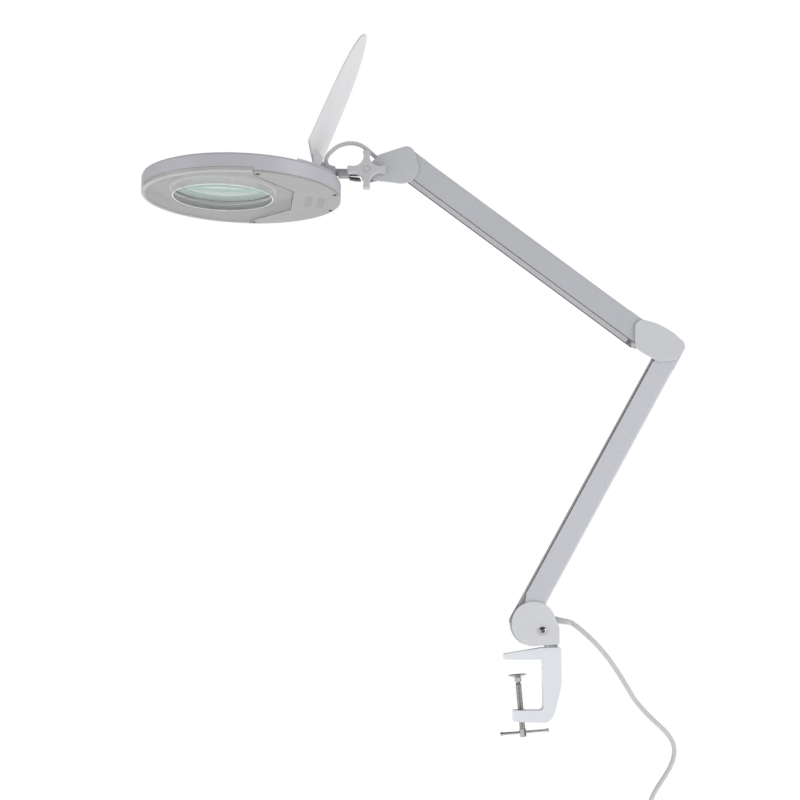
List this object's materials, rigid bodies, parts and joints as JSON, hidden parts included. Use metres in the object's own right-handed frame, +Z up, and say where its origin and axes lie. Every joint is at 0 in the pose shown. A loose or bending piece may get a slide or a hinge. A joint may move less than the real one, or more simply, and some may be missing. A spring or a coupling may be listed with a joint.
{
  "type": "magnifying lamp",
  "caption": "Clamp-on magnifying lamp: round lens head with hinged lid and light ring, sprung parallel arms, swivel base, screw clamp and mains cord.",
  "frame": {"origin": "centre of the clamp's seat, the underside of its top jaw", "axes": "+X from the table edge outwards, +Y away from the viewer, +Z up; the arms move in the XZ plane"},
  "size_m": [0.6382, 0.236, 1.0466],
  "materials": {
    "clamp_white": "satin",
    "cover_grey": "matte",
    "arm_grey": "satin",
    "link_grey": "satin",
    "core_grey": "matte",
    "bright_steel": "polished",
    "dark_chrome": "polished",
    "black_plastic": "matte",
    "head_grey": "satin",
    "plate_grey": "matte",
    "clear_plastic": "polished",
    "lens_glass": "polished",
    "lid_grey": "satin",
    "knob_grey": "matte",
    "cord_grey": "matte",
    "board_white": "matte"
  },
  "bodies": {
    "clamp": {"clamp_frame": "clamp_white", "thread_insert": "bright_steel", "swivel_washer": "bright_steel"},
    "pad": {"pressure_pad": "dark_chrome"},
    "screw": {"clamp_screw": "dark_chrome"},
    "bar": {"tommy_bar": "dark_chrome"},
    "base": {"spigot": "bright_steel", "base_core": "core_grey", "base_cover_front": "cover_grey", "base_cover_back": "cover_grey", "base_cover_screw": "bright_steel", "base_main_pin": "bright_steel", "base_link_pin": "bright_steel", "cord_relief": "cord_grey", "power_cord": "cord_grey", "cord_coil": "cord_grey", "cord_tie": "black_plastic", "power_plug": "cord_grey"},
    "lower_arm": {"lower_arm_shell": "arm_grey", "lower_spring_front": "bright_steel", "lower_spring_back": "bright_steel", "lower_spring_anchor": "bright_steel"},
    "lower_link": {"lower_arm_link": "link_grey"},
    "elbow": {"elbow_core": "core_grey", "elbow_cover_front": "cover_grey", "elbow_cover_back": "cover_grey", "elbow_lower_main_pin": "bright_steel", "elbow_lower_link_pin": "bright_steel", "elbow_upper_main_pin": "bright_steel", "elbow_upper_link_pin": "bright_steel"},
    "upper_arm": {"upper_arm_shell": "arm_grey", "upper_spring": "bright_steel", "upper_spring_anchor": "bright_steel"},
    "upper_link": {"upper_arm_link": "link_grey"},
    "bracket": {"head_core": "core_grey", "head_cover_front": "cover_grey", "head_cover_back": "cover_grey", "head_main_pin": "bright_steel", "head_link_pin": "bright_steel", "tilt_bolt": "bright_steel", "friction_disc": "black_plastic", "loop_cable_bracket": "cord_grey"},
    "knob": {"star_knob": "knob_grey"},
    "stem": {"stem_bar": "link_grey", "stem_sleeve": "cover_grey"},
    "head": {"head_shell": "head_grey", "bottom_plate": "plate_grey", "clear_cover": "clear_plastic", "lens_collar": "clear_plastic", "magnifier_lens": "lens_glass", "led_board": "board_white", "plate_screw_1": "black_plastic", "plate_screw_2": "black_plastic", "plate_screw_3": "black_plastic", "plate_screw_4": "black_plastic", "lid_hinge_pin": "bright_steel", "cable_gland": "head_grey", "loop_cable_head": "cord_grey"},
    "lid": {"lens_lid": "lid_grey"},
    "rocker": {"rocker_switch": "black_plastic"}
  },
  "joints": [
    {"name": "pad_travel", "type": "slide", "parent": "clamp", "child": "pad", "axis": [-0.0837, 0, 0.9965], "range_m": [-0.029, 0.0078]},
    {"name": "screw_turn", "type": "hinge", "parent": "pad", "child": "screw", "pos_m": [-0.0074, 0, -0.0206], "axis": [-0.0837, 0, 0.9965], "range_deg": [-7000, 1900]},
    {"name": "bar_slide", "type": "slide", "parent": "screw", "child": "bar", "axis": [0.9965, 0, 0.0837], "range_m": [-0.021, 0.017]},
    {"name": "base_swivel", "type": "hinge", "parent": "clamp", "child": "base", "pos_m": [0.0313, 0, 0.015], "axis": [0, 0, 1], "range_deg": [-150, 150]},
    {"name": "lower_arm_lift", "type": "hinge", "parent": "base", "child": "lower_arm", "pos_m": [0.0045, 0, 0.041], "axis": [0, -1, 0], "range_deg": [-15, 54], "deforming": ["lower_spring_front", "lower_spring_back"]},
    {"name": "lower_link_turn", "type": "hinge", "parent": "base", "child": "lower_link", "pos_m": [-0.0098, 0, 0.0435], "axis": [0, -1, 0], "range_deg": [-15, 54]},
    {"name": "elbow_level", "type": "hinge", "parent": "lower_arm", "child": "elbow", "pos_m": [0.18166, 0, 0.35669], "axis": [0, -1, 0], "range_deg": [-54, 15]},
    {"name": "upper_arm_lift", "type": "hinge", "parent": "elbow", "child": "upper_arm", "pos_m": [0.14305, 0, 0.3816], "axis": [0, 1, 0], "range_deg": [-52, 27], "deforming": ["upper_spring"]},
    {"name": "upper_link_turn", "type": "hinge", "parent": "elbow", "child": "upper_link", "pos_m": [0.1366, 0, 0.3677], "axis": [0, 1, 0], "range_deg": [-52, 27]},
    {"name": "bracket_level", "type": "hinge", "parent": "upper_arm", "child": "bracket", "pos_m": [-0.13316, 0, 0.59164], "axis": [0, 1, 0], "range_deg": [-27, 52]},
    {"name": "head_tilt", "type": "hinge", "parent": "bracket", "child": "stem", "pos_m": [-0.1809, 0, 0.5687], "axis": [0, 1, 0], "range_deg": [-80, 70], "deforming": ["loop_cable_bracket"]},
    {"name": "knob_turn", "type": "hinge", "parent": "bracket", "child": "knob", "pos_m": [-0.1809, -0.024, 0.5687], "axis": [0, -1, 0], "continuous": true},
    {"name": "head_roll", "type": "hinge", "parent": "stem", "child": "head", "pos_m": [-0.21993, 0, 0.57288], "axis": [0.9998, 0, -0.0175], "range_deg": [-80, 80], "deforming": ["loop_cable_head"]},
    {"name": "lid_hinge", "type": "hinge", "parent": "head", "child": "lid", "pos_m": [-0.23985, 0, 0.57803], "axis": [0, 1, 0], "range_deg": [-111.8, 0]},
    {"name": "rocker_press", "type": "hinge", "parent": "head", "child": "rocker", "pos_m": [-0.24064, 0.052, 0.56094], "axis": [0, 1, 0], "range_deg": [-7, 7]}
  ],
  "couplings": [
    {"joint": "screw_turn", "follows": "pad_travel", "rad_per_m": 4188.8},
    {"joint": "lower_link_turn", "follows": "lower_arm_lift", "ratio": 1},
    {"joint": "elbow_level", "follows": "lower_arm_lift", "ratio": -1},
    {"joint": "upper_link_turn", "follows": "upper_arm_lift", "ratio": 1},
    {"joint": "bracket_level", "follows": "upper_arm_lift", "ratio": -1}
  ]
}
